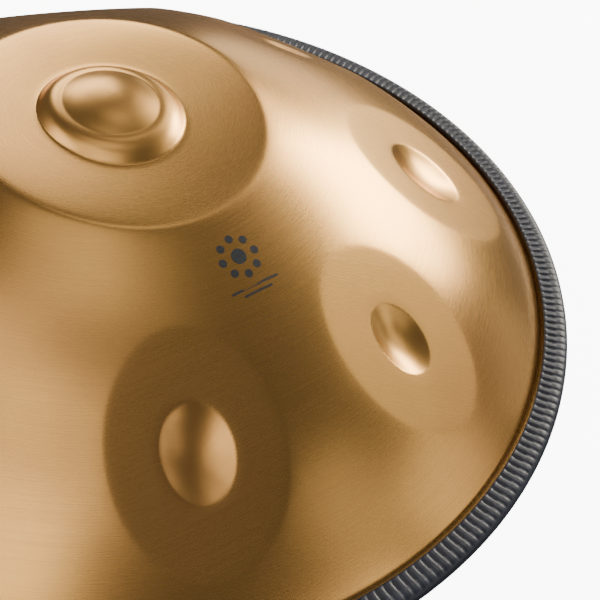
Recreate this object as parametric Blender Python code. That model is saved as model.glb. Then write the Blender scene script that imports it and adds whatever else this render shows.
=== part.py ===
"""Handpan: a lens-shaped steel percussion instrument played with the hands.

Two domed steel shells are bonded flange to flange. The upper one carries a
double-domed centre note and a ring of eight flattened oval notes, each with a
concave dimple. The lower one has a port with a neck turned inwards. A clip-on
edge trim with a folded steel core covers the flanges.

Metres, +Z up. The origin is on the surface the instrument stands on, below its
centre. The notes are laid out about LAYOUT_AXIS, the line from the port's
centre that points away from the player.
"""

import math

import bmesh
import bpy
from mathutils import Matrix, Vector
from mathutils.geometry import delaunay_2d_cdt

MM = 0.001

# Driving dimensions
TRIM_RADIUS = 265.0 * MM
SEAM_HEIGHT = 115.0 * MM
SHEET = 1.2 * MM
SEAM_GAP = 1.4 * MM
CLEARANCE = 0.3 * MM

# Shell form, the same for both shells: a crown, flatter sides and a flange
CROWN_RADIUS = 224.2 * MM
CROWN_ANGLE = math.radians(22.0)
SIDE_RADIUS = 484.0 * MM
SIDE_ANGLE = math.radians(45.5)
FLANGE_FILLET = 4.0 * MM
FLANGE_RADIUS = 260.5 * MM

# Radius of the sphere, close to the shell, that the notes' outlines are drawn on
LAYOUT_RADIUS = 307.5 * MM
LAYOUT_AXIS = math.radians(-60.0)

# Centre note: a flattened oval with a dome of two tiers on it
CENTRE_FIELD = (91.2 * MM, 76.7 * MM)
CENTRE_DOME = (45.0 * MM, 38.4 * MM)
CENTRE_FIELD_DEPTH = 18.4 * MM
LOWER_TIER_HEIGHT = 8.0 * MM
UPPER_TIER_HEIGHT = 5.5 * MM
UPPER_TIER_SHARE = 0.648

# Ring of notes: azimuth from the layout axis in degrees, distance from the
# centre, radial and tangential half widths, dimple size as a share of them
NOTES = {
    "note_1": (20.4, 185.0 * MM, 55.0 * MM, 39.4 * MM, 0.374),
    "note_2": (-19.6, 185.0 * MM, 57.9 * MM, 42.3 * MM, 0.411),
    "note_3": (64.0, 185.0 * MM, 62.0 * MM, 49.0 * MM, 0.430),
    "note_4": (-64.0, 185.0 * MM, 61.5 * MM, 48.0 * MM, 0.410),
    "note_5": (110.0, 182.0 * MM, 64.0 * MM, 50.0 * MM, 0.400),
    "note_6": (-110.0, 182.0 * MM, 65.0 * MM, 51.0 * MM, 0.400),
    "note_7": (156.5, 181.0 * MM, 67.0 * MM, 53.0 * MM, 0.390),
    "note_8": (-156.5, 181.0 * MM, 69.0 * MM, 54.0 * MM, 0.390),
}
NOTE_FLATTENED_RADIUS = 370.0 * MM
DIMPLE_DEPTH_SHARE = 0.27

# Port of the lower shell
PORT_RADIUS = 60.0 * MM
PORT_EDGE_RADIUS = 6.0 * MM
PORT_NECK_HEIGHT = 16.0 * MM
LAND_OUTER_RADIUS = 76.0 * MM
LAND_BLEND_ARC = 88.0 * MM
LOWER_DOME_STEPS = 6

# Edge trim: a U of soft plastic with a folded steel strip inside its wall
TRIM_INNER_RADIUS = 250.7 * MM
TRIM_WALL_MIDDLE = 3.5 * MM
TRIM_HALF_WALL = 1.3 * MM
TRIM_SKIN = 0.6 * MM
TRIM_JOINT_GAP = 0.4 * MM
TRIM_JOINT_AZIMUTH = LAYOUT_AXIS + math.pi

# Fineness of the mesh
SHELL_SEGMENTS = 72
TRIM_SEGMENTS = 60
DOME_LOOPS = (0.33, UPPER_TIER_SHARE, 0.74, 0.88, 1.0)
CENTRE_LOOPS = (0.72, 0.87, 1.0)
PLAIN_RINGS = ((0.42, 32), (0.55, 40), (0.68, 48), (0.81, 56), (0.93, 64))
CLEAR_OF_OVAL = 1.12

COLOURS = {
    "gold_steel": ((0.66, 0.42, 0.17), 0.32, 1.0),
    "epoxy": ((0.30, 0.29, 0.27), 0.50, 0.0),
    "black_vinyl": ((0.022, 0.024, 0.032), 0.50, 0.0),
    "spring_steel": ((0.45, 0.46, 0.48), 0.35, 1.0),
}


def clear_scene():
    for item in list(bpy.data.objects):
        bpy.data.objects.remove(item, do_unlink=True)


def material(name):
    found = bpy.data.materials.get(name)
    if found:
        return found
    colour, roughness, metallic = COLOURS[name]
    made = bpy.data.materials.new(name)
    made.use_nodes = True
    shader = made.node_tree.nodes["Principled BSDF"]
    shader.inputs["Base Color"].default_value = (*colour, 1.0)
    shader.inputs["Roughness"].default_value = roughness
    shader.inputs["Metallic"].default_value = metallic
    return made


def object_from(bm, name, finish):
    """A named, smooth-shaded object of one material."""
    mesh = bpy.data.meshes.new(name)
    bm.to_mesh(mesh)
    bm.free()
    mesh.shade_smooth()
    mesh.set_sharp_from_angle(angle=math.radians(35))
    made = bpy.data.objects.new(name, mesh)
    mesh.materials.append(material(finish))
    bpy.context.scene.collection.objects.link(made)
    return made


def thicken(item, thickness):
    """Gives an open sheet its gauge, on the side its faces point away from."""
    wall = item.modifiers.new("gauge", "SOLIDIFY")
    wall.thickness = thickness
    wall.offset = -1.0
    wall.use_even_offset = True
    wall.use_rim = True


# The bare shell, followed along its meridian from the pole to the flange's edge

FLANGE_FACE = SEAM_GAP / 2 + SHEET
CROWN_ARC = CROWN_RADIUS * CROWN_ANGLE
SIDE_ARC = SIDE_RADIUS * (SIDE_ANGLE - CROWN_ANGLE)
FILLET_ARC = FLANGE_FILLET * SIDE_ANGLE
DOME_ARC = CROWN_ARC + SIDE_ARC
CROWN_EDGE_RADIUS = CROWN_RADIUS * math.sin(CROWN_ANGLE)
SIDE_CENTRE_RADIUS = CROWN_EDGE_RADIUS - SIDE_RADIUS * math.sin(CROWN_ANGLE)
DOME_EDGE_RADIUS = SIDE_CENTRE_RADIUS + SIDE_RADIUS * math.sin(SIDE_ANGLE)
FILLET_END_RADIUS = DOME_EDGE_RADIUS + FLANGE_FILLET * math.sin(SIDE_ANGLE)
DOME_EDGE_HEIGHT = FLANGE_FACE + FLANGE_FILLET * (1 - math.cos(SIDE_ANGLE))
SIDE_CENTRE_HEIGHT = DOME_EDGE_HEIGHT - SIDE_RADIUS * math.cos(SIDE_ANGLE)
CROWN_CENTRE_HEIGHT = SIDE_CENTRE_HEIGHT + (
    (SIDE_RADIUS - CROWN_RADIUS) * math.cos(CROWN_ANGLE)
)
MERIDIAN = DOME_ARC + FILLET_ARC + FLANGE_RADIUS - FILLET_END_RADIUS


def meridian_point(arc):
    """Radius and height above the seam of the outer face, and its slope angle."""
    if arc <= CROWN_ARC:
        angle = arc / CROWN_RADIUS
        return (
            CROWN_RADIUS * math.sin(angle),
            CROWN_CENTRE_HEIGHT + CROWN_RADIUS * math.cos(angle),
            angle,
        )
    if arc <= DOME_ARC:
        angle = CROWN_ANGLE + (arc - CROWN_ARC) / SIDE_RADIUS
        return (
            SIDE_CENTRE_RADIUS + SIDE_RADIUS * math.sin(angle),
            SIDE_CENTRE_HEIGHT + SIDE_RADIUS * math.cos(angle),
            angle,
        )
    if arc <= DOME_ARC + FILLET_ARC:
        angle = SIDE_ANGLE - (arc - DOME_ARC) / FLANGE_FILLET
        return (
            FILLET_END_RADIUS - FLANGE_FILLET * math.sin(angle),
            FLANGE_FACE + FLANGE_FILLET * (1 - math.cos(angle)),
            angle,
        )
    return FILLET_END_RADIUS + arc - DOME_ARC - FILLET_ARC, FLANGE_FACE, 0.0


# Hammered relief of the upper shell


class Oval:
    """An oval region, drawn in the plane that touches the layout sphere there."""

    def __init__(self, azimuth, distance, along, across):
        self.along, self.across = along, across
        lean = math.asin(distance / LAYOUT_RADIUS)
        turn = Matrix.Rotation(azimuth, 3, "Z") @ Matrix.Rotation(lean, 3, "Y")
        self.u, self.v, self.normal = turn.col

    def reach(self, direction):
        """0 at the centre, 1 on the outline, for a direction from the sphere's centre."""
        if direction.dot(self.normal) <= 0:
            return 10.0
        u = LAYOUT_RADIUS * direction.dot(self.u) / self.along
        v = LAYOUT_RADIUS * direction.dot(self.v) / self.across
        return math.hypot(u, v)

    def outline(self, share, count):
        """Directions of points on the outline scaled by share."""
        found = []
        for step in range(count):
            angle = 2 * math.pi * step / count
            u = share * self.along * math.cos(angle) / LAYOUT_RADIUS
            v = share * self.across * math.sin(angle) / LAYOUT_RADIUS
            height = math.sqrt(1 - u * u - v * v)
            found.append(self.u * u + self.v * v + self.normal * height)
        return found


CENTRE = Oval(LAYOUT_AXIS, 0.0, *CENTRE_FIELD)
CENTRE_RISE = Oval(LAYOUT_AXIS, 0.0, *CENTRE_DOME)
RING = [
    (Oval(LAYOUT_AXIS + math.radians(turn), distance, along, across), dimple)
    for turn, distance, along, across, dimple in NOTES.values()
]


def two_tier_dome(reach):
    """Height of the centre dome over its flat: a round shoulder, then a cap."""
    if reach >= 1:
        return 0.0
    shoulder = (1 - reach) / (1 - UPPER_TIER_SHARE)
    if shoulder < 1:
        return LOWER_TIER_HEIGHT * (1 - (1 - shoulder) ** 2)
    cap = reach / UPPER_TIER_SHARE
    return LOWER_TIER_HEIGHT + UPPER_TIER_HEIGHT * (1 - cap * cap)


def relief(direction):
    """How far the hammered sheet stands out of the bare dome."""
    depth = CENTRE_FIELD_DEPTH * max(0.0, 1 - CENTRE.reach(direction) ** 2)
    height = two_tier_dome(CENTRE_RISE.reach(direction)) - depth
    for oval, dimple in RING:
        reach = oval.reach(direction)
        if reach < 1:
            flat = oval.along * oval.across / (2 * NOTE_FLATTENED_RADIUS)
            height -= flat * (1 - reach * reach)
        if reach < dimple:
            bowl = DIMPLE_DEPTH_SHARE * dimple * oval.across
            height -= bowl * (1 - (reach / dimple) ** 2)
    return height


def direction_at(flat_point):
    """Direction from the layout sphere's centre for a point of the shell laid flat."""
    angle = flat_point.length / LAYOUT_RADIUS
    if angle == 0:
        return Vector((0, 0, 1))
    flat = flat_point.normalized() * math.sin(angle)
    return Vector((flat.x, flat.y, math.cos(angle)))


def flat_from(direction):
    angle = math.acos(direction.z)
    return Vector((direction.x, direction.y)).normalized() * angle * LAYOUT_RADIUS


def upper_point(flat_point):
    """The outer face of the upper shell over a point of the shell laid flat."""
    radius, height, slope = meridian_point(flat_point.length)
    out = flat_point.normalized() if flat_point.length else Vector((0, 0))
    raised = 0.0
    if flat_point.length < DOME_ARC:
        raised = relief(direction_at(flat_point))
    radius += raised * math.sin(slope)
    height += raised * math.cos(slope)
    return Vector((out.x * radius, out.y * radius, SEAM_HEIGHT + height))


def add_loop(points, edges, loop):
    first = len(points)
    points.extend(loop)
    for step in range(len(loop)):
        edges.append((first + step, first + (step + 1) % len(loop)))


def circle(radius, count):
    angles = (2 * math.pi * step / count for step in range(count))
    return [Vector((radius * math.cos(a), radius * math.sin(a))) for a in angles]


def upper_shell():
    """Laid flat, meshed between the notes' outlines, then raised to its form."""
    points, edges = [Vector((0, 0))], []
    for share in DOME_LOOPS:
        loop = CENTRE_RISE.outline(share, 28)
        add_loop(points, edges, [flat_from(d) for d in loop])
    for share in CENTRE_LOOPS:
        loop = CENTRE.outline(share, 32)
        add_loop(points, edges, [flat_from(d) for d in loop])
    for oval, dimple in RING:
        points.append(flat_from(oval.normal))
        for share, count in ((dimple / 2, 10), (dimple, 16), (0.7, 16), (1.0, 24)):
            loop = oval.outline(share, count)
            add_loop(points, edges, [flat_from(d) for d in loop])
    for arc in (DOME_ARC, DOME_ARC + FILLET_ARC / 2, DOME_ARC + FILLET_ARC, MERIDIAN):
        add_loop(points, edges, circle(arc, SHELL_SEGMENTS))
    for share, count in PLAIN_RINGS:
        for point in circle(DOME_ARC * share, count):
            direction = direction_at(point)
            ovals = [CENTRE] + [oval for oval, _ in RING]
            if min(oval.reach(direction) for oval in ovals) > CLEAR_OF_OVAL:
                points.append(point)
    flat, _, faces, *_ = delaunay_2d_cdt(points, edges, [], 0, 1e-6)
    bm = bmesh.new()
    corners = [bm.verts.new(upper_point(Vector(p))) for p in flat]
    for face in faces:
        bm.faces.new([corners[i] for i in face])
    bmesh.ops.recalc_face_normals(bm, faces=bm.faces)
    if sum(face.normal.z for face in bm.faces) < 0:
        bmesh.ops.reverse_faces(bm, faces=bm.faces)
    shell = object_from(bm, "upper_shell", "gold_steel")
    thicken(shell, SHEET)


def arc_points(centre, radius, start, end, count):
    """Points on an arc in the plane of radius and height, angles in degrees."""
    angles = (
        math.radians(start + (end - start) * step / (count - 1))
        for step in range(count)
    )
    return [
        (centre[0] + radius * math.cos(a), centre[1] + radius * math.sin(a))
        for a in angles
    ]


def spun(profile, closed):
    """A bmesh of the profile, in radius and height, turned about the Z axis."""
    bm = bmesh.new()
    corners = [bm.verts.new((r, 0.0, z)) for r, z in profile]
    pairs = list(zip(corners, corners[1:]))
    if closed:
        pairs.append((corners[-1], corners[0]))
    edges = [bm.edges.new(pair) for pair in pairs]
    bmesh.ops.spin(
        bm,
        geom=corners + edges,
        angle=2 * math.pi,
        steps=SHELL_SEGMENTS,
        axis=(0, 0, 1),
        cent=(0, 0, 0),
        use_merge=True,
    )
    bmesh.ops.recalc_face_normals(bm, faces=bm.faces)
    return bm


def lower_shell():
    """Port neck, flat land, dome and flange, turned as one sheet."""
    edge_centre = (PORT_RADIUS + PORT_EDGE_RADIUS, PORT_EDGE_RADIUS)
    profile = [(PORT_RADIUS, PORT_NECK_HEIGHT)]
    profile += arc_points(edge_centre, PORT_EDGE_RADIUS, 180, 270, 4)
    profile.append((LAND_OUTER_RADIUS, 0.0))
    pitch = (DOME_ARC - LAND_BLEND_ARC) / LOWER_DOME_STEPS
    arcs = [LAND_BLEND_ARC + pitch * step for step in range(LOWER_DOME_STEPS + 1)]
    arcs += [DOME_ARC + FILLET_ARC / 2, DOME_ARC + FILLET_ARC, MERIDIAN]
    for arc in arcs:
        radius, height, _ = meridian_point(arc)
        profile.append((radius, SEAM_HEIGHT - height))
    bm = spun(profile, False)
    if sum(face.normal.z * face.calc_area() for face in bm.faces) > 0:
        bmesh.ops.reverse_faces(bm, faces=bm.faces)
    thicken(object_from(bm, "lower_shell", "gold_steel"), SHEET)


def seam_adhesive():
    half = SEAM_GAP / 2 - CLEARANCE
    inner, outer = FILLET_END_RADIUS, FLANGE_RADIUS - CLEARANCE
    profile = [
        (inner, SEAM_HEIGHT - half),
        (outer, SEAM_HEIGHT - half),
        (outer, SEAM_HEIGHT + half),
        (inner, SEAM_HEIGHT + half),
    ]
    bm = spun(profile, True)
    object_from(bm, "seam_adhesive", "epoxy")


def trim_wall(half_wall, mouth_inset):
    """Closed outline of a U wall about the flanges, mouth towards the centre."""
    crown = TRIM_RADIUS - TRIM_WALL_MIDDLE - TRIM_HALF_WALL
    mouth = TRIM_INNER_RADIUS + mouth_inset
    outer = TRIM_WALL_MIDDLE + half_wall
    inner = TRIM_WALL_MIDDLE - half_wall
    centre = (crown, SEAM_HEIGHT)
    outline = [(mouth, SEAM_HEIGHT + outer)]
    outline += arc_points(centre, outer, 90, -90, 5)
    outline += [(mouth, SEAM_HEIGHT - outer), (mouth, SEAM_HEIGHT - inner)]
    outline += arc_points(centre, inner, -90, 90, 5)
    outline.append((mouth, SEAM_HEIGHT + inner))
    return outline


def around_from_joint():
    """Start angle and sweep of a strip that runs from end to end of the trim."""
    half_gap = TRIM_JOINT_GAP / 2 / TRIM_RADIUS
    return TRIM_JOINT_AZIMUTH + half_gap, 2 * (math.pi - half_gap)


def swept_strip(outlines, segments, start, sweep):
    """Closed strip round the Z axis: a solid outline, or a wall and its tunnel."""
    bm = bmesh.new()
    tubes = []
    for outline in outlines:
        rings = []
        for step in range(segments + 1):
            turn = Matrix.Rotation(start + sweep * step / segments, 3, "Z")
            ring = [bm.verts.new(turn @ Vector((r, 0, z))) for r, z in outline]
            rings.append(ring)
        for near, far in zip(rings, rings[1:]):
            for i in range(len(near)):
                j = (i + 1) % len(near)
                bm.faces.new((near[i], near[j], far[j], far[i]))
        tubes.append(rings)
    for end in (0, -1):
        outer, inner = tubes[0][end], tubes[-1][end]
        count = len(outer)
        if len(tubes) == 1:
            for i in range(count // 2 - 1):
                far = count - 1 - i
                bm.faces.new((outer[i], outer[i + 1], outer[far - 1], outer[far]))
            continue
        for i in range(count):
            j = (i + 1) % count
            bm.faces.new((outer[i], outer[j], inner[j], inner[i]))
    bmesh.ops.recalc_face_normals(bm, faces=bm.faces)
    return bm


def rim_trim_cover():
    """The vinyl extrusion, with the tunnel that its steel core lies in."""
    outlines = [
        trim_wall(TRIM_HALF_WALL, 0.0),
        trim_wall(TRIM_HALF_WALL - TRIM_SKIN, TRIM_SKIN),
    ]
    bm = swept_strip(outlines, TRIM_SEGMENTS, *around_from_joint())
    object_from(bm, "rim_trim_cover", "black_vinyl")


def rim_trim_core():
    skin = TRIM_SKIN + CLEARANCE
    outline = trim_wall(TRIM_HALF_WALL - skin, skin)
    bm = swept_strip([outline], TRIM_SEGMENTS, *around_from_joint())
    object_from(bm, "rim_trim_core", "spring_steel")


def main():
    clear_scene()
    upper_shell()
    lower_shell()
    seam_adhesive()
    rim_trim_cover()
    rim_trim_core()


main()
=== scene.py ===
"""Handpan: fine hammered shells, ribbed rim trim, finishes and a studio stage.

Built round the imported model, in its frame: metres, +Z up, the instrument standing
on the ground plane with its axis on Z.
"""

import math

import bmesh
import bpy
import numpy as np
from bpy.props import FloatProperty, FloatVectorProperty, IntProperty, PointerProperty
from mathutils import Matrix, Vector
from mathutils.geometry import delaunay_2d_cdt


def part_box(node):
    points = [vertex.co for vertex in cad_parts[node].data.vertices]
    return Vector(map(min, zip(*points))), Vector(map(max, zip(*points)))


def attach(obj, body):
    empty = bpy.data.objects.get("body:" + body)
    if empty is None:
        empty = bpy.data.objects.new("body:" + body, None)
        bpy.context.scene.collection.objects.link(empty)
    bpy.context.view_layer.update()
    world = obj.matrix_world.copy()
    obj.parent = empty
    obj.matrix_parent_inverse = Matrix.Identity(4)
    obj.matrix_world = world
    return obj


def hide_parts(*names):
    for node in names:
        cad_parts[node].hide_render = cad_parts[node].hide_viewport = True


bl_info = {
    "name": "Handpan",
    "version": (1, 0, 0),
    "blender": (4, 5, 0),
    "location": "3D View > Sidebar > Handpan",
    "description": "Builds a steel handpan with its hammered notes, rim trim and stage",
    "category": "Add Mesh",
}

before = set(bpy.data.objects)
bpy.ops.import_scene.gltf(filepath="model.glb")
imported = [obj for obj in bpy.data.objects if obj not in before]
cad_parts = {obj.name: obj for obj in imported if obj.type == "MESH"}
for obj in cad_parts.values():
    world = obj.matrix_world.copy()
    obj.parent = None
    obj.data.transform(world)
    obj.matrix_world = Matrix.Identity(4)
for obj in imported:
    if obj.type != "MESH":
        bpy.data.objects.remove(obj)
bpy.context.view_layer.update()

MM = 0.001
TRIM_LOW, TRIM_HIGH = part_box("rim_trim_cover")
SHELL_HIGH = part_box("upper_shell")[1]
TRIM_RADIUS = TRIM_HIGH.x
TRIM_HALF_HEIGHT = (TRIM_HIGH.z - TRIM_LOW.z) / 2
SEAM_HEIGHT = (TRIM_HIGH.z + TRIM_LOW.z) / 2
FLANGE_RADIUS = SHELL_HIGH.x

# Notes of the ring: azimuth from the layout axis in degrees, distance from the
# centre, radial and tangential half widths in millimetres, dimple share of them
NOTES = (
    (20.4, 185.0, 55.0, 39.4, 0.374),
    (-19.6, 185.0, 57.9, 42.3, 0.411),
    (64.0, 185.0, 62.0, 49.0, 0.430),
    (-64.0, 185.0, 61.5, 48.0, 0.410),
    (110.0, 182.0, 64.0, 50.0, 0.400),
    (-110.0, 182.0, 65.0, 51.0, 0.400),
    (156.5, 181.0, 67.0, 53.0, 0.390),
    (-156.5, 181.0, 69.0, 54.0, 0.390),
)


def length_prop(name, description, value, low=0.0):
    return FloatProperty(
        name=name,
        description=description,
        default=value,
        min=low,
        unit="LENGTH",
        subtype="DISTANCE",
        precision=4,
    )


def angle_prop(name, description, degrees):
    return FloatProperty(
        name=name,
        description=description,
        default=math.radians(degrees),
        subtype="ANGLE",
    )


def colour_prop(name, description, value):
    return FloatVectorProperty(
        name=name,
        description=description,
        default=value,
        size=3,
        min=0.0,
        max=1.0,
        subtype="COLOR",
    )


class HandpanShells(bpy.types.PropertyGroup):
    """Form of the two drawn shells."""

    gauge: length_prop("Gauge", "Thickness of the steel sheet", 1.2 * MM)
    seam_gap: length_prop("Seam gap", "Space between the two flanges", 1.4 * MM)
    crown_radius: length_prop("Crown radius", "Curve of the middle", 224.2 * MM)
    crown_angle: angle_prop("Crown angle", "Slope where the crown ends", 22.0)
    side_radius: length_prop("Side radius", "Curve of the sides", 484.0 * MM)
    side_angle: angle_prop("Side angle", "Slope where the sides end", 45.5)
    fillet: length_prop("Flange fillet", "Radius from dome to flange", 4.0 * MM)
    layout_axis: angle_prop("Layout axis", "Azimuth the notes are laid out about", -60)
    layout_radius: length_prop(
        "Layout radius", "Sphere the notes' outlines are drawn on", 307.5 * MM
    )
    flattened_radius: length_prop(
        "Flattened radius", "Mean curve that each note is flattened from", 370.0 * MM
    )
    port_radius: length_prop("Port radius", "Radius of the lower port", 60.0 * MM)
    port_edge: length_prop("Port edge", "Rounding of the port's edge", 6.0 * MM)
    port_neck: length_prop("Port neck", "Height of the neck inside", 16.0 * MM)


class HandpanCentre(bpy.types.PropertyGroup):
    """Centre note and its dome of two tiers."""

    field_along: length_prop("Field, long", "Half length of the flat", 91.2 * MM)
    field_across: length_prop("Field, short", "Half width of the flat", 76.7 * MM)
    field_depth: length_prop("Flattening", "Depth of the flat", 18.4 * MM)
    dome_along: length_prop("Dome, long", "Half length of the dome", 45.0 * MM)
    dome_across: length_prop("Dome, short", "Half width of the dome", 38.4 * MM)
    lower_tier: length_prop("Lower tier", "Height of the round shoulder", 8.0 * MM)
    upper_tier: length_prop("Upper tier", "Height of the cap on it", 5.5 * MM)
    upper_share: FloatProperty(
        name="Upper tier's share",
        description="Size of the cap as a share of the dome",
        default=0.648,
        min=0.1,
        max=0.95,
        subtype="FACTOR",
    )


class HandpanTrim(bpy.types.PropertyGroup):
    """Clip-on edge trim."""

    mouth_radius: length_prop("Mouth radius", "Where its legs end", 250.7 * MM)
    wall: length_prop("Wall", "Thickness of its wall", 2.6 * MM)
    rib_depth: length_prop("Rib depth", "Depth between two ribs", 0.75 * MM)
    ribs: IntProperty(
        name="Ribs",
        description="Number of ribs round the rim",
        default=324,
        min=12,
    )


class HandpanMark(bpy.types.PropertyGroup):
    """Printed mark: a ring of dots round a larger one, over two bars."""

    azimuth: angle_prop("Azimuth", "Place of the mark round the axis", -59.4)
    arc: length_prop("Distance", "From the axis, along the shell", 117.0 * MM)
    turn: angle_prop("Turn", "Turn of its bars from the X axis", 30.0)
    ring: length_prop("Ring", "Radius of the ring of dots", 9.5 * MM)
    dot: length_prop("Dot", "Radius of a dot of the ring", 2.1 * MM)
    middle_dot: length_prop("Middle dot", "Radius of the middle dot", 4.0 * MM)
    bar: length_prop("Bar", "Half length of the long bar", 14.0 * MM)
    bar_width: length_prop("Bar width", "Width of a bar", 1.1 * MM)
    film: length_prop("Film", "Height of the print over the steel", 0.03 * MM)
    dots: IntProperty(name="Dots", description="Dots in the ring", default=8, min=3)


class HandpanFinishes(bpy.types.PropertyGroup):
    """Colours of the finishes."""

    steel: colour_prop("Steel", "Heat-coloured gold steel", (0.83, 0.46, 0.135))
    steel_dark: colour_prop("Steel, dark", "Deeper heat colour", (0.66, 0.33, 0.12))
    vinyl: colour_prop("Vinyl", "Edge trim", (0.017, 0.022, 0.042))
    ink: colour_prop("Ink", "Printed mark", (0.020, 0.024, 0.034))
    epoxy: colour_prop("Epoxy", "Seam adhesive", (0.30, 0.29, 0.27))
    spring: colour_prop("Spring steel", "Core of the trim", (0.45, 0.46, 0.48))
    floor: colour_prop("Floor", "Floor of the stage", (0.92, 0.92, 0.92))


class HandpanStage(bpy.types.PropertyGroup):
    """Camera and light."""

    elevation: angle_prop("Elevation", "Height of the view over the rim", 44.93)
    distance: length_prop("Distance", "Camera to the rim's centre", 0.6829)
    roll: angle_prop("Roll", "Turn of the camera about its view", 7.18)
    focal: FloatProperty(
        name="Focal length",
        description="Lens of the camera on a 36 mm sensor",
        default=69.07,
        min=1.0,
        unit="CAMERA",
    )
    aim: FloatVectorProperty(
        name="Aim",
        description="Point of the rim's plane in the middle of the view",
        default=(0.104, -0.0331),
        size=2,
        unit="LENGTH",
        subtype="XYZ",
    )
    light_colour: colour_prop("Light", "Colour of the softboxes", (1.0, 0.93, 0.80))
    ambient: FloatProperty(
        name="Ambient",
        description="Strength of the even light of the room",
        default=0.09,
        min=0.0,
    )


# Node trees: arithmetic on sockets, and one way to add any other node


class Value:
    """A number in a node tree; arithmetic on it adds Math nodes."""

    def __init__(self, graph, socket):
        self.graph, self.socket = graph, socket

    def math(self, operation, *others):
        sockets = dict(enumerate((self, *others)))
        return self.graph.add("ShaderNodeMath", {"operation": operation}, sockets)

    def __add__(self, other):
        return self.math("ADD", other)

    __radd__ = __add__

    def __mul__(self, other):
        return self.math("MULTIPLY", other)

    __rmul__ = __mul__

    def __sub__(self, other):
        return self.math("SUBTRACT", other)

    def __rsub__(self, other):
        return self.math("MULTIPLY_ADD", -1.0, other)

    def __truediv__(self, other):
        return self.math("DIVIDE", other)

    def __neg__(self):
        return self * -1.0

    def clamp(self, low, high):
        return self.math("MAXIMUM", low).math("MINIMUM", high)

    def smooth(self, start, end):
        """0 below start, 1 above end, eased between."""
        settings = {"interpolation_type": "SMOOTHSTEP"}
        sockets = {"Value": self, "From Min": start, "From Max": end}
        return self.graph.add("ShaderNodeMapRange", settings, sockets)


class Graph:
    """A node tree under construction."""

    def __init__(self, tree):
        self.tree = tree

    def add(self, kind, settings=None, sockets=None, output=0):
        """Adds a node: its settings first, then its sockets' values or links."""
        node = self.tree.nodes.new(kind)
        for name, value in (settings or {}).items():
            setattr(node, name, value)
        for key, value in (sockets or {}).items():
            live = [s for s in node.inputs if s.enabled and s.name == key]
            socket = node.inputs[key] if isinstance(key, int) else live[0]
            if isinstance(value, Value):
                self.tree.links.new(value.socket, socket)
            else:
                socket.default_value = value
        outputs = [s for s in node.outputs if s.enabled]
        if not outputs:
            return None
        if isinstance(output, int):
            return Value(self, outputs[output])
        return Value(self, next(s for s in outputs if s.name == output))

    def combine(self, x, y, z):
        return self.add("ShaderNodeCombineXYZ", None, {"X": x, "Y": y, "Z": z})

    def separate(self, vector):
        axes = self.add("ShaderNodeSeparateXYZ", None, {"Vector": vector})
        outputs = axes.socket.node.outputs
        return [Value(self, outputs[i]) for i in range(3)]

    def noise(self, vector, scale, detail=2.0, roughness=0.5):
        sockets = {
            "Vector": vector,
            "Scale": scale,
            "Detail": detail,
            "Roughness": roughness,
        }
        return self.add("ShaderNodeTexNoise", None, sockets)

    def mix_colour(self, factor, first, second):
        sockets = {"Factor": factor, "A": first, "B": second}
        settings = {"data_type": "RGBA", "clamp_factor": True}
        return self.add("ShaderNodeMix", settings, sockets)

    def mix(self, factor, first, second):
        return first + (second - first) * factor


def finish(name, metallic, constants=None):
    """A material with its shader's constants set; gives material, graph and shader."""
    made = bpy.data.materials.new(name)
    made.use_nodes = True
    tree = made.node_tree
    shader = tree.nodes["Principled BSDF"]
    shader.inputs["Metallic"].default_value = metallic
    for key, value in (constants or {}).items():
        shader.inputs[key].default_value = value
    return made, Graph(tree), shader


def feed(graph, shader, **sources):
    for key, value in sources.items():
        socket = shader.inputs[key.replace("_", " ").title()]
        graph.tree.links.new(value.socket, socket)


def bump(graph, height, strength, depth):
    sockets = {"Strength": strength, "Distance": depth, "Height": height}
    return graph.add("ShaderNodeBump", None, sockets)


def opaque(colour):
    return (*colour, 1.0)


def object_point(graph):
    sockets = graph.add("ShaderNodeTexCoord").socket.node.outputs
    return Value(graph, sockets["Object"])


# Forms, written once for numbers, arrays and node sockets


def sine(angle):
    return angle.math("SINE") if isinstance(angle, Value) else np.sin(angle)


def cosine(angle):
    return angle.math("COSINE") if isinstance(angle, Value) else np.cos(angle)


def clamped(value, low, high):
    if isinstance(value, Value):
        return value.clamp(low, high)
    return np.clip(value, low, high)


def rounded_above(value, softness):
    """The larger of value and 0, with a rounded corner."""
    square = value * value + softness * softness
    root = square.math("SQRT") if isinstance(square, Value) else np.sqrt(square)
    return (value + root) * 0.5


def along_outline(arc, radius, height, heading, stretches):
    """Point and heading at this arc length of an outline of lines and bends.

    A stretch is its length and the angle it turns through, or None if it's straight.
    """
    done = 0.0
    course = heading
    for length, turn in stretches:
        run = clamped(arc - done, 0.0, length)
        if turn is None:
            radius = radius + run * cosine(heading)
            height = height + run * sine(heading)
        else:
            bend_radius = length / turn
            swing = run / bend_radius
            radius = radius + (sine(heading + swing) - sine(heading)) * bend_radius
            height = height + (cosine(heading) - cosine(heading + swing)) * bend_radius
            course = course + swing
            heading = heading + turn
        done = done + length
    return radius, height, course


# Upper shell


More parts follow.
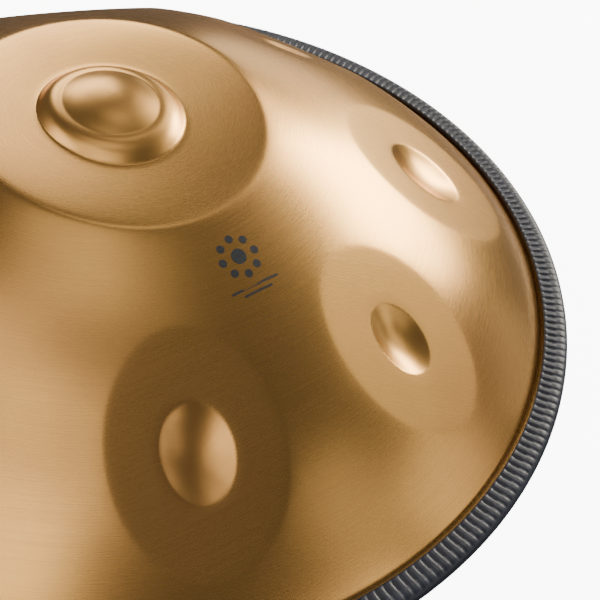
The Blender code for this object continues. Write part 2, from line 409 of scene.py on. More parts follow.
class Oval:
    """An oval region, drawn in the plane that touches the layout sphere there."""

    def __init__(self, azimuth, distance, along, across, sphere_radius):
        self.along, self.across, self.sphere_radius = along, across, sphere_radius
        lean = math.asin(distance / sphere_radius)
        turn = Matrix.Rotation(azimuth, 3, "Z") @ Matrix.Rotation(lean, 3, "Y")
        self.u, self.v, self.normal = (np.array(axis) for axis in turn.col)

    def reach(self, directions):
        """0 at the centre, 1 on the outline, for directions from the sphere's centre."""
        u = self.sphere_radius * (directions @ self.u) / self.along
        v = self.sphere_radius * (directions @ self.v) / self.across
        far = 10.0
        return np.where(directions @ self.normal > 0, np.hypot(u, v), far)

    def ring(self, share, spacing):
        """Points, on the shell laid flat, round the outline scaled by share."""
        girth = math.pi * share * (self.along + self.across)
        count = max(8, round(girth / spacing))
        angles = np.linspace(0, 2 * math.pi, count, endpoint=False)
        u = share * self.along * np.cos(angles) / self.sphere_radius
        v = share * self.across * np.sin(angles) / self.sphere_radius
        height = np.sqrt(1 - u * u - v * v)
        directions = np.outer(u, self.u) + np.outer(v, self.v)
        directions += np.outer(height, self.normal)
        slope = np.arccos(np.clip(directions[:, 2], -1, 1))
        level = np.maximum(np.hypot(directions[:, 0], directions[:, 1]), 1e-12)
        return directions[:, :2] / level[:, None] * (slope * self.sphere_radius)[:, None]


class UpperShellForm:
    """Outer face of the hammered shell over points of the shell laid flat."""

    FIELD_CREASE = 0.25 * MM
    CENTRE_CREASE = 0.9 * MM
    DIMPLE_LIP = 0.45 * MM
    TIER_CREASE = 0.22 * MM
    SHOULDER_FOOT = 0.06
    DIMPLE_DEPTH_SHARE = 0.27

    def __init__(self, shells, centre):
        self.shells, self.centre = shells, centre
        radius = shells.layout_radius
        flat = (centre.field_along, centre.field_across)
        dome = (centre.dome_along, centre.dome_across)
        self.flat = Oval(shells.layout_axis, 0.0, *flat, radius)
        self.dome = Oval(shells.layout_axis, 0.0, *dome, radius)
        self.notes = []
        for turn, distance, along, across, dimple in NOTES:
            azimuth = shells.layout_axis + math.radians(turn)
            sizes = (distance * MM, along * MM, across * MM)
            self.notes.append((Oval(azimuth, *sizes, radius), dimple))
        crown, side = shells.crown_angle, shells.side_angle
        formed = [
            (shells.crown_radius * crown, -crown),
            (shells.side_radius * (side - crown), crown - side),
            (shells.fillet * side, side),
        ]
        formed_arc = sum(length for length, _ in formed)
        reach, drop, _ = along_outline(formed_arc, 0.0, 0.0, 0.0, formed)
        self.apex = SEAM_HEIGHT + shells.seam_gap / 2 + shells.gauge - drop
        self.dome_arc = formed[0][0] + formed[1][0]
        self.formed_arc = formed_arc
        self.stretches = (*formed, (FLANGE_RADIUS - reach, None))
        self.length = sum(length for length, _ in self.stretches)

    def directions(self, flat_points):
        arc = np.hypot(flat_points[:, 0], flat_points[:, 1])
        slope = arc / self.shells.layout_radius
        out = flat_points / np.maximum(arc, 1e-12)[:, None]
        return np.column_stack((out * np.sin(slope)[:, None], np.cos(slope)))

    def relief(self, directions):
        """How far the hammered sheet stands out of the bare dome."""
        centre = self.centre
        q = self.flat.reach(directions)
        depth = centre.field_depth * (1 - q * q)
        height = -rounded_above(depth, self.CENTRE_CREASE)
        q = self.dome.reach(directions)
        shoulder = rounded_above((1 - q) / (1 - centre.upper_share), self.SHOULDER_FOOT)
        shoulder = np.minimum(shoulder, 1)
        height += centre.lower_tier * (1 - (1 - shoulder) ** 2)
        cap = centre.upper_tier * (1 - (q / centre.upper_share) ** 2)
        height += rounded_above(cap, self.TIER_CREASE)
        for oval, dimple in self.notes:
            q = oval.reach(directions)
            flat = oval.along * oval.across / (2 * self.shells.flattened_radius)
            height -= rounded_above(flat * (1 - q * q), self.FIELD_CREASE)
            bowl = self.DIMPLE_DEPTH_SHARE * dimple * oval.across
            hollow = bowl * (1 - (q / dimple) ** 2)
            height -= rounded_above(hollow, self.DIMPLE_LIP)
        return height

    def points(self, flat_points):
        arc = np.hypot(flat_points[:, 0], flat_points[:, 1])
        out = flat_points / np.maximum(arc, 1e-12)[:, None]
        radius, height, course = along_outline(arc, 0.0, self.apex, 0.0, self.stretches)
        raised = self.relief(self.directions(flat_points))
        raised = np.where(arc < self.dome_arc, raised, 0.0)
        radius = radius - raised * np.sin(course)
        height = height + raised * np.cos(course)
        return np.column_stack((out * radius[:, None], height))

    def normals(self, flat_points):
        step = 0.12 * MM
        across = np.array((step, 0.0))
        along = np.array((0.0, step))
        side = self.points(flat_points + across) - self.points(flat_points - across)
        ahead = self.points(flat_points + along) - self.points(flat_points - along)
        normals = np.cross(side, ahead)
        return normals / np.linalg.norm(normals, axis=1)[:, None]

    def layout(self):
        """Points of the mesh, laid flat: dense at creases, sparse on plain dome."""
        ovals = [(self.flat, 2.6 * MM), (self.dome, 1.4 * MM)]
        crease = (0.965, 0.985, 1.0, 1.015, 1.035)
        groups = [np.zeros((1, 2))]
        for oval, spacing in ovals:
            groups += [oval.ring(share, spacing) for share in crease]
        inner = self.centre.upper_share
        for share in (0.93, 0.88, 0.82, 0.76, 0.71):
            groups.append(self.dome.ring(share, 1.6 * MM))
        for share in (0.672, 0.658, inner, 0.63, 0.61, 0.58, 0.5, 0.4, 0.3, 0.2, 0.1):
            groups.append(self.dome.ring(share, 1.6 * MM))
        for share in (0.55, 0.62, 0.7, 0.79, 0.87, 0.94):
            groups.append(self.flat.ring(share, 4.5 * MM))
        for oval, dimple in self.notes:
            centre = oval.ring(1e-6, 1.0)[:1]
            groups.append(centre)
            groups += [oval.ring(share, 2.2 * MM) for share in crease]
            for share in (0.52, 0.62, 0.73, 0.84, 0.92):
                groups.append(oval.ring(share, 4.0 * MM))
            for share in (0.2, 0.4, 0.58, 0.74, 0.86, 0.94, 0.98, 1.0, 1.02, 1.07):
                groups.append(oval.ring(share * dimple, 1.5 * MM))
        groups.append(self.plain_dome_points())
        steps = np.linspace(0, 1, 7)
        arcs = list(self.dome_arc + steps * (self.formed_arc - self.dome_arc))
        arcs += [(self.formed_arc + self.length) / 2, self.length]
        arcs += [self.dome_arc - 2 * MM, self.dome_arc - 5 * MM]
        angles = np.linspace(0, 2 * math.pi, 400, endpoint=False)
        circle = np.column_stack((np.cos(angles), np.sin(angles)))
        groups += [circle * arc for arc in arcs]
        return np.vstack(groups)

    def plain_dome_points(self):
        """A triangular grid on the dome between the ovals."""
        pitch = 6.0 * MM
        row_pitch = pitch * math.sqrt(3) / 2
        rows = int(self.dome_arc / row_pitch) + 1
        columns = int(self.dome_arc / pitch) + 1
        grid = [
            ((column + 0.5 * (row % 2)) * pitch, row * row_pitch)
            for row in range(-rows, rows + 1)
            for column in range(-columns, columns + 1)
        ]
        grid = np.array(grid)
        directions = self.directions(grid)
        clear = np.hypot(grid[:, 0], grid[:, 1]) < self.dome_arc - 8 * MM
        for oval in [self.flat] + [oval for oval, _ in self.notes]:
            clear &= oval.reach(directions) > 1.05
        return grid[clear]

    def brushed_across(self, directions):
        """1 on the notes of the ring, which are brushed straight, 0 elsewhere."""
        inside = [oval.reach(directions) < 1.0 for oval, _ in self.notes]
        return np.any(inside, axis=0).astype(float)

    def burnished(self, directions):
        """1 in the dimples and on the centre dome, which are rubbed smoother."""
        inside = [oval.reach(directions) < dimple for oval, dimple in self.notes]
        inside.append(self.dome.reach(directions) < 1.0)
        return np.any(inside, axis=0).astype(float)


def sheet_mesh(name, outer, normals, triangles, gauge):
    """A closed mesh of a sheet from its outer face, with exact shading normals."""
    count = len(outer)
    points = np.vstack((outer, outer - normals * gauge))
    shading = np.vstack((normals, -normals))
    sides = {}
    for a, b, c in triangles:
        for start, end in ((a, b), (b, c), (c, a)):
            sides[(start, end)] = sides.get((start, end), 0) + 1
    rim = [side for side in sides if (side[1], side[0]) not in sides]
    faces = [tuple(face) for face in triangles]
    faces += [(c + count, b + count, a + count) for a, b, c in triangles]
    faces += [(b, a, a + count, b + count) for a, b in rim]
    mesh = bpy.data.meshes.new(name)
    mesh.from_pydata(points.tolist(), [], faces)
    mesh.shade_smooth()
    mesh.normals_split_custom_set_from_vertices(shading.tolist())
    return mesh


def mark_patches(mark):
    """Outlines of the printed patches about the mark's centre, bars along X."""
    # Each bar's distance below the centre in ring radii, its share of the long bar
    bars = ((1.65, 1.0), (2.0, 0.6))
    angles = np.linspace(0, 2 * math.pi, 24, endpoint=False)
    circle = np.column_stack((np.cos(angles), np.sin(angles)))
    patches = [circle * mark.middle_dot]
    for step in range(mark.dots):
        turn = 2 * math.pi * step / mark.dots
        centre = mark.ring * np.array((math.cos(turn), math.sin(turn)))
        patches.append(centre + circle * mark.dot)
    for row, share in bars:
        level = -row * mark.ring
        side = np.linspace(-share, share, 15) * mark.bar
        low = np.column_stack((side, np.full(15, level - mark.bar_width / 2)))
        high = np.column_stack((side[::-1], np.full(15, level + mark.bar_width / 2)))
        patches.append(np.vstack((low, high)))
    return patches


def mark_mesh(mark, form):
    """The printed film, laid on the shell with its edges turned down to the steel."""
    centre = mark.arc * np.array((math.cos(mark.azimuth), math.sin(mark.azimuth)))
    turn = np.array(Matrix.Rotation(mark.turn, 2))
    points, faces = [], []
    for patch in mark_patches(mark):
        flat = patch @ turn.T + centre
        skin, normals = form.points(flat), form.normals(flat)
        first, count = len(points), len(flat)
        points += (skin + normals * mark.film).tolist() + skin.tolist()
        faces.append(tuple(range(first, first + count)))
        for step in range(count):
            after = (step + 1) % count
            a, b = first + step, first + after
            faces.append((b, a, a + count, b + count))
    mesh = bpy.data.meshes.new("printed_mark")
    mesh.from_pydata(points, [], faces)
    return mesh


def settle(mesh, name, material, slot, *nodes):
    """Makes a mesh a finished piece that rides on the instrument."""
    piece = bpy.data.objects.new(name, mesh)
    bpy.context.scene.collection.objects.link(piece)
    mesh.materials.clear()
    mesh.materials.append(material)
    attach(piece, "root")
    if nodes:
        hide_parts(*nodes)
    return piece


def add_attribute(mesh, name, values):
    mesh.attributes.new(name, "FLOAT", "POINT").data.foreach_set("value", values)


# Finishes


def gold_steel():
    """Satin steel: brushed round the axis, straight across the notes of the ring."""
    found = bpy.data.materials.get("gold_steel")
    if found:
        return found
    colours = bpy.context.scene.handpan_finishes
    made, graph, shader = finish("gold_steel", metallic=1.0, constants={"Anisotropic": 0.35})
    point = object_point(graph)
    x, y, z = graph.separate(point)
    radius = (x * x + y * y).math("SQRT")
    line_pitch = 0.5 * MM
    streaks_round = 3.0
    # The lines climb with the height as well, so that they stay fine on slopes
    round_climb, straight_climb = 0.6, 0.4
    round_axis = graph.combine(
        x / radius * streaks_round,
        y / radius * streaks_round,
        (radius - z * round_climb) / line_pitch,
    )
    brush_turn = math.radians(18)
    along = x * math.cos(brush_turn) + y * math.sin(brush_turn)
    across = y * math.cos(brush_turn) - x * math.sin(brush_turn) - z * straight_climb
    streak_length = 60 * MM
    straight = graph.combine(along / streak_length, across / line_pitch, 0.0)
    round_lines = graph.noise(round_axis, scale=1.0, detail=5.0, roughness=0.75)
    straight_lines = graph.noise(straight, scale=1.0, detail=5.0, roughness=0.75)
    settings = {"attribute_name": "brushed_across"}
    on_note = graph.add("ShaderNodeAttribute", settings, None, "Fac")
    settings = {"attribute_name": "burnished"}
    smooth = graph.add("ShaderNodeAttribute", settings, None, "Fac")
    lines = graph.mix(on_note, round_lines, straight_lines)
    clouds = graph.noise(point, scale=9.0, detail=4.0, roughness=0.55)
    specks = graph.noise(point, scale=260.0, detail=2.0, roughness=0.5)
    tint = clouds.smooth(0.35, 0.68) * 0.55 + (lines - 0.5) * 0.9
    colour = graph.mix_colour(tint, opaque(colours.steel), opaque(colours.steel_dark))
    roughness = 0.27 + (lines - 0.5) * 0.12 + (clouds - 0.5) * 0.08 + smooth * 0.03
    height = lines * (1 - smooth * 0.6) + specks * 0.1
    normal = bump(graph, height, strength=0.22, depth=0.05 * MM)
    feed(graph, shader, base_color=colour, roughness=roughness, normal=normal)
    return made


def trim_vinyl():
    """Dark flexible vinyl with a fine leather grain, lighter in scattered patches."""
    colours = bpy.context.scene.handpan_finishes
    constants = {"Specular IOR Level": 0.6}
    made, graph, shader = finish("trim_vinyl", metallic=0.0, constants=constants)
    point = object_point(graph)
    grain = graph.add("ShaderNodeTexVoronoi", {"feature": "F1"}, {
        "Vector": point,
        "Scale": 1600.0,
    })
    weave = graph.noise(point, scale=900.0, detail=3.0, roughness=0.6)
    dust = graph.noise(point, scale=45.0, detail=4.0, roughness=0.6)
    pale = tuple(min(1.0, c * 2.2) for c in colours.vinyl)
    shade = dust.smooth(0.4, 0.75) * 0.35 + weave.smooth(0.5, 0.8) * 0.4
    colour = graph.mix_colour(shade, opaque(colours.vinyl), opaque(pale))
    roughness = 0.34 + weave * 0.16 + dust * 0.08
    normal = bump(graph, grain * 0.6 + weave * 0.7, strength=0.45, depth=0.12 * MM)
    feed(graph, shader, base_color=colour, roughness=roughness, normal=normal)
    return made


def mark_ink():
    colours = bpy.context.scene.handpan_finishes
    made, graph, shader = finish("mark_ink", metallic=0.0)
    wear = graph.noise(object_point(graph), scale=700.0, detail=3.0, roughness=0.6)
    pale = tuple(min(1.0, c * 1.9) for c in colours.ink)
    colour = graph.mix_colour(wear.smooth(0.45, 0.75), opaque(colours.ink), opaque(pale))
    feed(graph, shader, base_color=colour, roughness=0.42 + wear * 0.2)
    return made


def cured_epoxy():
    colours = bpy.context.scene.handpan_finishes
    made, graph, shader = finish("cured_epoxy", metallic=0.0)
    cloud = graph.noise(object_point(graph), scale=120.0, detail=3.0)
    pale = tuple(c * 1.25 for c in colours.epoxy)
    colour = graph.mix_colour(cloud, opaque(colours.epoxy), opaque(pale))
    feed(graph, shader, base_color=colour, roughness=0.35 + cloud * 0.3)
    return made


def spring_steel():
    colours = bpy.context.scene.handpan_finishes
    made, graph, shader = finish("spring_steel", metallic=1.0)
    roll = graph.noise(object_point(graph), scale=300.0, detail=3.0)
    dark = tuple(c * 0.8 for c in colours.spring)
    colour = graph.mix_colour(roll, opaque(colours.spring), opaque(dark))
    feed(graph, shader, base_color=colour, roughness=0.28 + roll * 0.2)
    return made


# Geometry Nodes


def new_tree(name, inputs):
    """A geometry tree with named inputs; gives the graph and the inputs' values."""
    tree = bpy.data.node_groups.new(name, "GeometryNodeTree")
    tree.interface.new_socket("Geometry", in_out="OUTPUT", socket_type="NodeSocketGeometry")
    tree.interface.new_socket("Geometry", in_out="INPUT", socket_type="NodeSocketGeometry")
    for label, kind in inputs:
        tree.interface.new_socket(label, in_out="INPUT", socket_type=kind)
    graph = Graph(tree)
    given = tree.nodes.new("NodeGroupInput").outputs
    return graph, {label: Value(graph, given[label]) for label, _ in inputs}


def end_tree(graph, geometry, material):
    real = graph.add("GeometryNodeRealizeInstances", None, {"Geometry": geometry})
    sockets = {"Geometry": real, "Material": material}
    painted = graph.add("GeometryNodeSetMaterial", None, sockets)
    sink = graph.tree.nodes.new("NodeGroupOutput")
    graph.tree.links.new(painted.socket, sink.inputs[0])


def run_tree(graph, name, values):
    """Evaluates a tree with these inputs and gives the result as a plain mesh."""
    carrier = bpy.data.objects.new(name, bpy.data.meshes.new(name))
    bpy.context.scene.collection.objects.link(carrier)
    nodes = carrier.modifiers.new(name, "NODES")
    nodes.node_group = graph.tree
    for item in graph.tree.interface.items_tree:
        if item.in_out == "INPUT" and item.name in values:
            nodes[item.identifier] = values[item.name]
    evaluated = carrier.evaluated_get(bpy.context.evaluated_depsgraph_get())
    mesh = bpy.data.meshes.new_from_object(evaluated)
    bpy.data.objects.remove(carrier)
    mesh.name = name
    return mesh


def turned_surface(graph, steps_round, steps_along, place):
    """A sheet turned about Z: place gives radius and height from 0 to 1 and angle."""
    sockets = {"Size X": 1.0, "Size Y": 1.0}
    sockets["Vertices X"] = steps_round + 1
    sockets["Vertices Y"] = steps_along + 1
    grid = graph.add("GeometryNodeMeshGrid", None, sockets, "Mesh")
    spot = graph.add("GeometryNodeInputPosition")
    x, y, _ = graph.separate(spot)
    angle = (x + 0.5) * (2 * math.pi)
    radius, height = place(y + 0.5, angle)
    position = graph.combine(radius * angle.math("COSINE"), radius * angle.math("SINE"), height)
    sockets = {"Geometry": grid, "Position": position}
    placed = graph.add("GeometryNodeSetPosition", None, sockets)
    sockets = {"Geometry": placed, "Distance": 0.01 * MM}
    return graph.add("GeometryNodeMergeByDistance", None, sockets)


def facing_out(mesh):
    """Recalculates the normals of a closed or open turned mesh."""
    bm = bmesh.new()
    bm.from_mesh(mesh)
    bmesh.ops.recalc_face_normals(bm, faces=bm.faces)
    bm.to_mesh(mesh)
    bm.free()
    mesh.shade_smooth()


def lower_shell_mesh(shells, material):
    """The lower shell's outer face, from the neck's edge to the flange's."""
    number = "NodeSocketFloat"
    labels = (
        ("Port radius", number),
        ("Port edge", number),
        ("Neck height", number),
        ("Crown radius", number),
        ("Crown angle", number),
        ("Side radius", number),
        ("Side angle", number),
        ("Fillet", number),
        ("Flange radius", number),
        ("Flange face", number),
        ("Seam height", number),
        ("Steps round", "NodeSocketInt"),
        ("Steps along", "NodeSocketInt"),
    )
    graph, given = new_tree("Lower shell", labels)
    edge, neck = given["Port edge"], given["Neck height"]
    crown_radius, crown_angle = given["Crown radius"], given["Crown angle"]
    side_radius, side_angle = given["Side radius"], given["Side angle"]
    land_radius = given["Port radius"] + edge
    first_slope = (land_radius / crown_radius).math("ARCSINE")
    fillet = given["Fillet"]
    reach = crown_radius * sine(crown_angle) + fillet * sine(side_angle)
    reach = reach + side_radius * (sine(side_angle) - sine(crown_angle))
    rise = crown_radius * (cosine(first_slope) - cosine(crown_angle))
    rise = rise + side_radius * (cosine(crown_angle) - cosine(side_angle))
    rise = rise + fillet * (1 - cosine(side_angle))
    quarter = math.pi / 2
    stretches = (
        (neck - edge, None),
        (edge * quarter, quarter),
        (crown_radius * (crown_angle - first_slope), crown_angle - first_slope),
        (side_radius * (side_angle - crown_angle), side_angle - crown_angle),
        (fillet * side_angle, -side_angle),
        (given["Flange radius"] - reach, None),
    )
    land_height = given["Seam height"] - given["Flange face"] - rise
    length = sum((stretch for stretch, _ in stretches), 0.0)

    def place(share, _):
        arc = share * length
        neck_part = along_outline(arc, given["Port radius"], neck, -quarter, stretches[:2])
        dome_start = (neck - edge) + edge * quarter
        dome_part = along_outline(
            arc - dome_start, land_radius, land_height, first_slope, stretches[2:]
        )
        past = (arc - dome_start).math("GREATER_THAN", 0.0)
        pressed = rounded_above(dome_part[1], 1.0 * MM)
        return (
            graph.mix(past, neck_part[0], dome_part[0]),
            graph.mix(past, neck_part[1], pressed),
        )

    surface = turned_surface(graph, given["Steps round"], given["Steps along"], place)
    end_tree(graph, surface, material)
    values = {
        "Port radius": shells.port_radius,
        "Port edge": shells.port_edge,
        "Neck height": shells.port_neck,
        "Crown radius": shells.crown_radius,
        "Crown angle": shells.crown_angle,
        "Side radius": shells.side_radius,
        "Side angle": shells.side_angle,
        "Fillet": shells.fillet,
        "Flange radius": FLANGE_RADIUS,
        "Flange face": shells.seam_gap / 2 + shells.gauge,
        "Seam height": SEAM_HEIGHT,
        "Steps round": 256,
        "Steps along": 120,
    }
    return run_tree(graph, "lower_shell_skin", values)


def trim_mesh(trim, material):
    """The U-shaped cover with its two rows of ribs."""
    number = "NodeSocketFloat"
    labels = (
        ("Crown radius", number),
        ("Mouth radius", number),
        ("Half height", number),
        ("Wall", number),
        ("Rib depth", number),
        ("Ribs", number),
        ("Seam height", number),
        ("Steps round", "NodeSocketInt"),
        ("Steps along", "NodeSocketInt"),
    )
    graph, given = new_tree("Rim trim", labels)
    half, wall, mouth = given["Half height"], given["Wall"], given["Mouth radius"]
    crown = given["Crown radius"] - half
    leg = crown - mouth
    inside = half - wall
    turn = math.pi
    stretches = (
        (leg, None),
        (half * turn, -turn),
        (leg, None),
        (wall * (turn / 2), -turn),
        (leg, None),
        (inside * turn, turn),
        (leg, None),
        (wall * (turn / 2), -turn),
    )
    outer_length = leg * 2 + half * turn
    inner_length = sum((length for length, _ in stretches[3:]), 0.0)
    outer_share = 0.78

    def place(share, angle):
        arc = (share / outer_share).clamp(0.0, 1.0) * outer_length
        rest = (share - outer_share) / (1 - outer_share)
        arc = arc + rest.clamp(0.0, 1.0) * inner_length
        radius, height, course = along_outline(arc, mouth, half, 0.0, stretches)
        from_lip = arc.math("MINIMUM", outer_length - arc) / outer_length
        top_row = from_lip.smooth(0.02, 0.05) * (1 - from_lip.smooth(0.185, 0.215))
        crown_row = from_lip.smooth(0.225, 0.25) * (1 - from_lip.smooth(0.36, 0.40))
        seam_line = from_lip.smooth(0.19, 0.21) * (1 - from_lip.smooth(0.225, 0.245))
        wave = (angle * given["Ribs"]).math("COSINE") * 0.5 + 0.5
        hollow = wave.smooth(0.42, 0.9) * (top_row + crown_row * 0.45) + seam_line * 0.3
        sink = hollow * given["Rib depth"]
        radius = radius + sink * sine(course)
        height = height - sink * cosine(course)
        return radius, height + given["Seam height"]

    surface = turned_surface(graph, given["Steps round"], given["Steps along"], place)
    end_tree(graph, surface, material)
    samples_per_rib = 8
    values = {
        "Crown radius": TRIM_RADIUS,
        "Mouth radius": trim.mouth_radius,
        "Half height": TRIM_HALF_HEIGHT,
        "Wall": trim.wall,
        "Rib depth": trim.rib_depth,
        "Ribs": float(trim.ribs),
        "Seam height": SEAM_HEIGHT,
        "Steps round": trim.ribs * samples_per_rib,
        "Steps along": 36,
    }
    return run_tree(graph, "rim_trim_skin", values)


# Operators


class HANDPAN_OT_upper_shell(bpy.types.Operator):
    """Build the hammered upper shell"""

    bl_idname = "handpan.upper_shell"
    bl_label = "Upper shell"

    def execute(self, context):
        scene = context.scene
        form = UpperShellForm(scene.handpan_shells, scene.handpan_centre)
        layout = [Vector(point) for point in form.layout()]
        flat, _, faces, *_ = delaunay_2d_cdt(layout, [], [], 0, 1e-7)
        flat = np.array([tuple(point) for point in flat])
        normals = form.normals(flat)
        mesh = sheet_mesh(
            "upper_shell_skin", form.points(flat), normals, faces, scene.handpan_shells.gauge
        )
        directions = form.directions(flat)
        for name, values in (
            ("brushed_across", form.brushed_across(directions)),
            ("burnished", form.burnished(directions)),
        ):
            add_attribute(mesh, name, np.tile(values, 2))
        settle(mesh, "upper_shell_skin", gold_steel(), "shell_steel", "upper_shell")
        return {"FINISHED"}


class HANDPAN_OT_mark(bpy.types.Operator):
    """Print the mark on the upper shell"""

    bl_idname = "handpan.mark"
    bl_label = "Printed mark"

    def execute(self, context):
        scene = context.scene
        form = UpperShellForm(scene.handpan_shells, scene.handpan_centre)
        mesh = mark_mesh(scene.handpan_mark, form)
        settle(mesh, "printed_mark", mark_ink(), "trim_vinyl")
        return {"FINISHED"}


class HANDPAN_OT_lower_shell(bpy.types.Operator):
    """Build the ported lower shell"""

    bl_idname = "handpan.lower_shell"
    bl_label = "Lower shell"

    def execute(self, context):
        shells = context.scene.handpan_shells
        mesh = lower_shell_mesh(shells, gold_steel())
        facing_out(mesh)
        if sum(face.normal.z * face.area for face in mesh.polygons) > 0:
            mesh.flip_normals()
        piece = settle(mesh, "lower_shell_skin", gold_steel(), "shell_steel", "lower_shell")
        wall = piece.modifiers.new("gauge", "SOLIDIFY")
        wall.thickness = shells.gauge
        wall.offset = -1.0
        return {"FINISHED"}


class HANDPAN_OT_seam(bpy.types.Operator):
    """Finish the glued seam and the core of the trim"""

    bl_idname = "handpan.seam"
    bl_label = "Seam and core"

    def execute(self, context):
        for node, material in (
            ("seam_adhesive", cured_epoxy()),
            ("rim_trim_core", spring_steel()),
        ):
            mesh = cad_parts[node].data
            mesh.materials.clear()
            mesh.materials.append(material)
        return {"FINISHED"}


class HANDPAN_OT_trim(bpy.types.Operator):
    """Build the ribbed trim round the rim"""

    bl_idname = "handpan.trim"
    bl_label = "Rim trim"

    def execute(self, context):
        material = trim_vinyl()
        mesh = trim_mesh(context.scene.handpan_trim, material)
        facing_out(mesh)
        settle(mesh, "rim_trim_skin", material, "trim_vinyl", "rim_trim_cover")
        return {"FINISHED"}


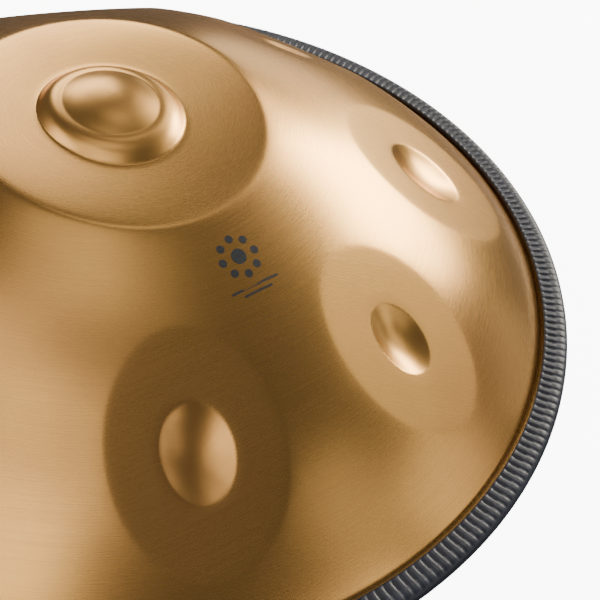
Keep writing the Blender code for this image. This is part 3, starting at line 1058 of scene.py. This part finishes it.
class HANDPAN_OT_stage(bpy.types.Operator):
    """Set up the floor, the lights and the camera"""

    bl_idname = "handpan.stage"
    bl_label = "Stage"

    # Azimuth and elevation of each softbox's centre, its width and height in
    # metres, and how bright its face is; all stand SOFTBOX_DISTANCE away from
    # SOFTBOX_CENTRE, which is at the height of the seam
    SOFTBOXES = {
        "key": (35.0, 22.0, 0.90, 0.72, 17.0),
        "key_side": (52.0, 30.0, 0.80, 0.75, 3.4),
        "right_low": (48.0, 6.0, 0.85, 0.50, 1.8),
        "right": (2.0, 28.0, 0.70, 0.70, 0.92),
        "back_right": (70.0, 4.0, 0.60, 0.50, 1.5),
        "right_edge": (14.0, 0.0, 0.70, 0.36, 0.6),
        "rim": (54.0, 44.0, 0.55, 0.60, 1.6),
        "front_right": (344.0, 14.0, 0.75, 0.60, 1.2),
        "front_low": (314.0, 10.0, 0.80, 0.55, 1.9),
        "front": (322.0, 29.0, 0.60, 0.60, 0.6),
        "left": (239.0, 34.0, 0.85, 0.80, 2.25),
        "left_high": (250.0, 54.0, 0.85, 0.75, 1.05),
        "left_back": (210.0, 52.0, 0.95, 0.85, 1.3),
        "back_left": (180.0, 28.0, 1.20, 0.80, 3.0),
        "back": (102.0, 25.0, 0.85, 0.72, 4.4),
        "back_high": (90.0, 38.0, 0.50, 0.38, 0.8),
        "back_strip": (70.0, 36.0, 0.22, 0.50, 2.0),
        "back_top": (86.0, 66.0, 0.50, 0.40, 1.0),
        "overhead": (185.0, 78.0, 0.90, 0.90, 0.8),
        "overhead_front": (270.0, 80.0, 0.90, 0.80, 0.28),
    }
    SOFTBOX_DISTANCE = 2.0
    SOFTBOX_CENTRE = (0.05, -0.03)
    ROOM_RADIUS = 7.0
    FLOOR_GLOW = 9.0

    def execute(self, context):
        scene = context.scene
        stage = scene.handpan_stage
        self.make_floor(scene)
        middle = Vector((*self.SOFTBOX_CENTRE, SEAM_HEIGHT))
        for name, box in self.SOFTBOXES.items():
            self.make_softbox(scene, name, middle, *box)
        world = bpy.data.worlds.new("room")
        world.use_nodes = True
        world.node_tree.nodes["Background"].inputs["Strength"].default_value = stage.ambient
        world.node_tree.nodes["Background"].inputs["Color"].default_value = (1, 1, 1, 1)
        scene.world = world
        self.make_camera(scene, stage)
        return {"FINISHED"}

    def make_floor(self, scene):
        """A round floor and the dome over it, one closed mesh with a pale finish."""
        bm = bmesh.new()
        sizes = {"u_segments": 64, "v_segments": 32, "radius": self.ROOM_RADIUS}
        bmesh.ops.create_uvsphere(bm, **sizes)
        for corner in bm.verts:
            corner.co.z = max(corner.co.z, 0.0)
        mesh = bpy.data.meshes.new("floor")
        bm.to_mesh(mesh)
        bm.free()
        floor = bpy.data.objects.new("floor", mesh)
        made, _, shader = finish("floor", metallic=0.0, constants={"Roughness": 0.8})
        shader.inputs["Base Color"].default_value = opaque(scene.handpan_finishes.floor)
        shader.inputs["Emission Color"].default_value = (1, 1, 1, 1)
        shader.inputs["Emission Strength"].default_value = self.FLOOR_GLOW
        mesh.materials.append(made)
        scene.collection.objects.link(floor)
        floor.visible_glossy = False
        floor.visible_diffuse = False

    def make_softbox(self, scene, name, middle, azimuth, elevation, *face):
        width, height, brightness = face
        light = bpy.data.lights.new(name, "AREA")
        light.shape = "RECTANGLE"
        light.size = width
        light.size_y = height
        light.energy = brightness * math.pi * width * height
        light.color = scene.handpan_stage.light_colour
        turn, rise = math.radians(azimuth), math.radians(elevation)
        level = math.cos(rise)
        out = Vector((level * math.cos(turn), level * math.sin(turn), math.sin(rise)))
        lamp = bpy.data.objects.new(name, light)
        lamp.location = middle + out * self.SOFTBOX_DISTANCE
        lamp.rotation_euler = out.to_track_quat("Z", "Y").to_euler()
        scene.collection.objects.link(lamp)

    def make_camera(self, scene, stage):
        rise = stage.elevation
        eye = stage.distance * Vector((0, -math.cos(rise), math.sin(rise)))
        aim = Vector((stage.aim[0], stage.aim[1], 0))
        ahead = (aim - eye).normalized()
        right = ahead.cross(Vector((0, 0, 1))).normalized()
        up = right.cross(ahead)
        lens = bpy.data.cameras.new("camera")
        lens.lens = stage.focal
        lens.sensor_width = 36.0
        lens.clip_start = 0.01
        camera = bpy.data.objects.new("camera", lens)
        turn = Matrix((right, up, -ahead)).transposed() @ Matrix.Rotation(stage.roll, 3, "Z")
        camera.matrix_world = Matrix.Translation(eye + Vector((0, 0, SEAM_HEIGHT))) @ turn.to_4x4()
        scene.collection.objects.link(camera)
        scene.camera = camera


OPERATORS = (
    HANDPAN_OT_upper_shell,
    HANDPAN_OT_mark,
    HANDPAN_OT_lower_shell,
    HANDPAN_OT_seam,
    HANDPAN_OT_trim,
    HANDPAN_OT_stage,
)


class HANDPAN_PT_panel(bpy.types.Panel):
    """The handpan's pieces, sizes and colours"""

    bl_idname = "HANDPAN_PT_panel"
    bl_label = "Handpan"
    bl_space_type = "VIEW_3D"
    bl_region_type = "UI"
    bl_category = "Handpan"

    def draw(self, context):
        for operator in OPERATORS:
            self.layout.operator(operator.bl_idname)
        for name in GROUPS:
            group = getattr(context.scene, name)
            box = self.layout.box()
            for prop in group.__annotations__:
                box.prop(group, prop)


GROUPS = {
    "handpan_shells": HandpanShells,
    "handpan_centre": HandpanCentre,
    "handpan_trim": HandpanTrim,
    "handpan_mark": HandpanMark,
    "handpan_finishes": HandpanFinishes,
    "handpan_stage": HandpanStage,
}


def register():
    for made in (*GROUPS.values(), *OPERATORS, HANDPAN_PT_panel):
        bpy.utils.register_class(made)
    for name, group in GROUPS.items():
        setattr(bpy.types.Scene, name, PointerProperty(type=group))


def unregister():
    for name in GROUPS:
        delattr(bpy.types.Scene, name)
    for made in (HANDPAN_PT_panel, *OPERATORS, *GROUPS.values()):
        bpy.utils.unregister_class(made)


def main():
    register()
    bpy.ops.handpan.upper_shell()
    bpy.ops.handpan.mark()
    bpy.ops.handpan.lower_shell()
    bpy.ops.handpan.seam()
    bpy.ops.handpan.trim()
    bpy.ops.handpan.stage()


if __name__ == "__main__":
    main()
